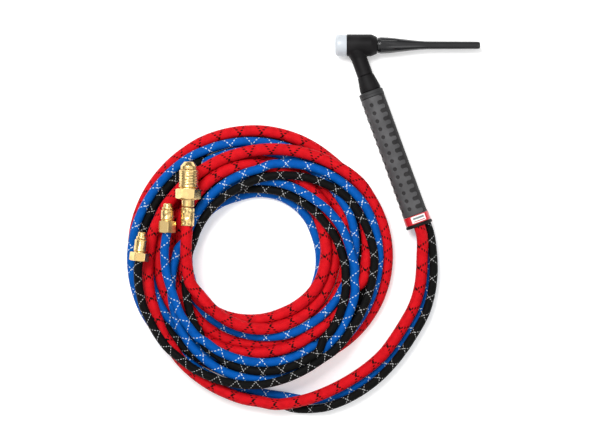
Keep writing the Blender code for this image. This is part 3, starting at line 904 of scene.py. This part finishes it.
def grip_shape(angle, height, radius):
    keep = smoothstep(height, GRIP_START + 0.2, GRIP_START + 0.8)
    keep *= 1 - smoothstep(height, GRIP_END - 1.4, GRIP_END - 0.8)
    panel_grain = 0.07 * np.cos(angle * 60) * np.cos(height * 4.6)
    depth = keep * grip_relief(angle, height) * (RECESS + panel_grain)
    return oval(angle, height, radius) - np.where(radius > RECESS_FROM, depth, 0)


def make_grip():
    outline = [(0.4, GRIP_END), (12.7, GRIP_END), (13.0, 205.0), (13.0, 200.0), (12.9, 170.0), (12.8, 134.0),
               (12.9, 100.0), (13.0, 77.3), (12.85, 68.0), (12.6, GRIP_START), (0.4, GRIP_START)]
    grip = lathe("handle_grip_shell", HANDLE_FRAME, outline, [GRIP_SHELL, GRIP_PANEL], sides=192, soft=0.4,
                 longest=0.38, shape=grip_shape, sharp=60)
    paint_sunk_faces(grip)
    stands_for(grip, "torch", ["handle_grip"])


def paint_sunk_faces(grip):
    """The faces in the recesses take the second material."""
    to_local = np.array(HANDLE_FRAME.inverted())
    centres = np.zeros(len(grip.data.polygons) * 3)
    grip.data.polygons.foreach_get("center", centres)
    local = (centres.reshape(-1, 3) @ to_local[:3, :3].T + to_local[:3, 3]) / MM
    angle = np.arctan2(local[:, 1], -local[:, 0])
    sunk = grip_relief(angle, local[:, 2]) > 0.45
    sunk &= np.hypot(local[:, 0], local[:, 1]) > HANDLE_CORE
    grip.data.polygons.foreach_set("material_index", sunk.astype(np.int32))


def make_handle_end():
    label = lathe("label_band", HANDLE_FRAME, [
        (0.4, LABEL_LOW), (13.4, LABEL_LOW), (13.4, LABEL_HIGH), (0.4, LABEL_HIGH),
    ], label_look(), sides=96, soft=0.2, start_turn=math.pi, shape=oval)
    stands_for(label, "torch", ["handle_label"])
    ring = lathe("end_ring_moulding", HANDLE_FRAME, [
        (0.4, 217.0), (12.4, 217.0), (12.9, 219.3), (14.3, 219.3), (15.0, 218.6), (15.0, 216.4),
        (14.4, 215.8), (0.4, 215.8),
    ], RUBBER_SKIN, sides=96, soft=0.4, shape=end_oval)
    stands_for(ring, "torch", ["handle_end_ring"])


# --- brass fittings -------------------------------------------------------------------------------

def fitting_frame(start, end):
    """A frame on a fitting's axis, from where its hose ends towards the fitting's tip."""
    direction = (Vector(end) - Vector(start)).to_track_quat("Z", "Y")
    return Matrix.Translation(Vector(start) * MM) @ direction.to_matrix().to_4x4() @ Matrix.Rotation(
        -math.pi / 2, 4, "Z")


NUT_BORE = 6.6                      # points nearer the axis than this are not cut by the thread
THREAD_DEPTH = 0.26                 # the thread's depth over its pitch


def nut_shape(across_flats, hex_low, hex_high, corner, thread_low, thread_high, pitch):
    """Flats on the hexagon, with one corner at this angle from straight up, and a thread on the body."""
    def shape(angle, height, radius):
        part = (angle - corner + math.pi / 6) % (math.pi / 3) - math.pi / 6
        flat = across_flats / 2 / np.cos(np.pi / 6 - np.abs(part))
        on_hex = (height > hex_low - 0.05) & (height < hex_high + 0.05)
        cut = smoothstep(height, thread_low, thread_low + pitch)
        cut *= 1 - smoothstep(height, thread_high - pitch, thread_high)
        wave = np.abs(2 * ((height / pitch - angle / (2 * np.pi)) % 1.0) - 1)
        threaded = radius - np.where(radius > NUT_BORE, THREAD_DEPTH * pitch * cut * wave, 0)
        return np.where(on_hex, np.minimum(radius, flat), threaded)
    return shape


CRIMP_START, CRIMP_PITCH, CRIMPS = 0.5, 6.6, 8      # the first row's edge, from row to row, dents in a row
CRIMP_DEPTH = 0.63


def ferrule_shape(angle, height, radius):
    """Three rows of crimp dents round the ferrule."""
    number = np.floor((height - CRIMP_START) / CRIMP_PITCH)
    row = np.abs((height - CRIMP_START) / CRIMP_PITCH - number - 0.5) * CRIMP_PITCH
    turned = (angle * CRIMPS / (2 * np.pi) + 0.5 * number) % 1.0 - 0.5
    dent = np.clip(1 - (row / 2.1) ** 2 - (turned / 0.34) ** 2, 0, 1)
    outer = (radius > 7.0) & (height > 1.4) & (height < 19.8)
    return radius - np.where(outer, CRIMP_DEPTH * np.sqrt(dent), 0)


def make_power_fitting():
    place = fitting_frame(RED_TAIL[0], (-247.2, -35.3, 47.0))
    ferrule = lathe("power_crimp", place, [
        (6.7, 20.6), (7.3, 21.0), (7.6, 20.4), (7.6, 0.9), (7.2, 0.3), (6.7, 0.6),
    ], BRASS, sides=96, soft=0.2, longest=0.45, shape=ferrule_shape)
    stands_for(ferrule, "torch", ["power_ferrule"])
    nut = lathe("power_nut_body", place, [
        (10.2, 63.0), (11.0, 62.2), (11.0, 44.0), (9.8, 43.0), (9.8, 42.0), (12.6, 42.0), (14.4, 41.0),
        (14.4, 31.6), (12.6, 30.6), (9.8, 30.6), (9.6, 29.8), (7.7, 29.6), (7.4, 29.2), (7.4, 22.4),
        (7.1, 22.0), (5.8, 22.0), (5.8, 63.0),
    ], BRASS, sides=144, closed=True, soft=0.25, longest=0.4,
        shape=nut_shape(25.0, 30.6, 42.0, math.radians(27), 44.4, 62.0, 1.81))
    stands_for(nut, "power_nut", ["power_nut"])
    nipple = lathe("power_nipple_body", place, [
        (1.9, 72.2), (5.2, 72.2), (5.8, 71.8), (9.4, 67.2), (9.4, 63.8), (8.9, 63.3), (5.4, 63.3), (5.4, 21.3),
        (1.9, 21.3),
    ], BRASS, sides=96, closed=True, soft=0.4)
    stands_for(nipple, "torch", ["power_nipple"])


def make_hose_fitting(name, place, nut_outline, shape, nipple_outline):
    nut = lathe(name + "_nut_body", place, nut_outline, BRASS, sides=120, closed=True, soft=0.22,
                longest=0.35, shape=shape)
    stands_for(nut, name + "_nut", [name + "_nut"])
    nipple = lathe(name + "_nipple_body", place, nipple_outline, BRASS, sides=80, closed=True, soft=0.35)
    stands_for(nipple, "torch", [name + "_nipple"])


def make_water_fitting():
    make_hose_fitting("water", fitting_frame(BLUE_TAIL[0], (-271.4, -81.5, 43.3)), [
        (7.2, 25.6), (7.7, 25.1), (7.7, 15.2), (6.9, 14.4), (6.9, 13.6), (9.3, 13.6), (10.7, 12.9), (10.7, 1.0),
        (9.3, 0.3), (3.8, 0.3), (3.8, 25.6),
    ], nut_shape(18.6, 0.3, 13.6, math.radians(-10), 15.4, 25.2, 1.41), [
        (1.7, 33.2), (4.0, 33.2), (4.9, 32.0), (4.9, 29.4), (6.3, 28.8), (6.3, 26.4), (5.8, 25.9), (3.4, 25.9),
        (3.4, 0.3), (1.7, 0.3),
    ])


def make_gas_fitting():
    make_hose_fitting("gas", fitting_frame(BLACK_TAIL[0], (-299.9, -113.7, 43.8)), [
        (6.8, 24.4), (7.3, 23.9), (7.3, 11.6), (6.5, 10.8), (6.5, 10.0), (9.7, 10.0), (11.2, 9.3), (11.2, 1.0),
        (9.7, 0.3), (3.6, 0.3), (3.6, 24.4),
    ], nut_shape(19.5, 0.3, 10.0, math.radians(22), 11.9, 24.0, 1.41), [
        (1.5, 32.8), (3.7, 32.8), (4.6, 31.6), (4.6, 28.2), (6.0, 27.6), (6.0, 25.2), (5.6, 24.7), (3.2, 24.7),
        (3.2, 0.3), (1.5, 0.3),
    ])


def dress_cad_nodes():
    """The two CAD solids that stay get their own material."""
    looks = {"head_socket": metal_look("copper_socket", (0.72, 0.42, 0.26), (0.4, 0.22, 0.13), 0.28),
             "back_cap_o_ring": moulded_look("o_ring_rubber", (0.008, 0.008, 0.008), 0.5)}
    for node, look in looks.items():
        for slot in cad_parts[node].material_slots:
            slot.material = look


make_camera()
make_studio()
make_floor()
RUBBER_SKIN = moulded_look("rubber_skin", (0.007, 0.0065, 0.007), 0.5, specular=0.1)
BOOT_SKIN = moulded_look("boot_skin", (0.006, 0.0056, 0.006), 0.55, specular=0.09)
GRIP_SHELL = moulded_look("grip_shell", (0.06, 0.059, 0.061), 0.42, grain=1100.0)
COLLAR_SKIN = moulded_look("collar_skin", (0.026, 0.026, 0.027), 0.5, grain=1100.0, depth=0.00008)
GRIP_PANEL = moulded_look("grip_panel", (0.018, 0.017, 0.0175), 0.6, grain=900.0, depth=0.00012)
BRASS = metal_look("machined_brass", (0.86, 0.62, 0.27), (0.74, 0.50, 0.19), 0.24)
make_head()
make_gasket()
make_back_cap()
make_neck_boot()
make_collar()
make_grip()
make_handle_end()
make_power_fitting()
make_water_fitting()
make_gas_fitting()
dress_cad_nodes()
make_hoses()
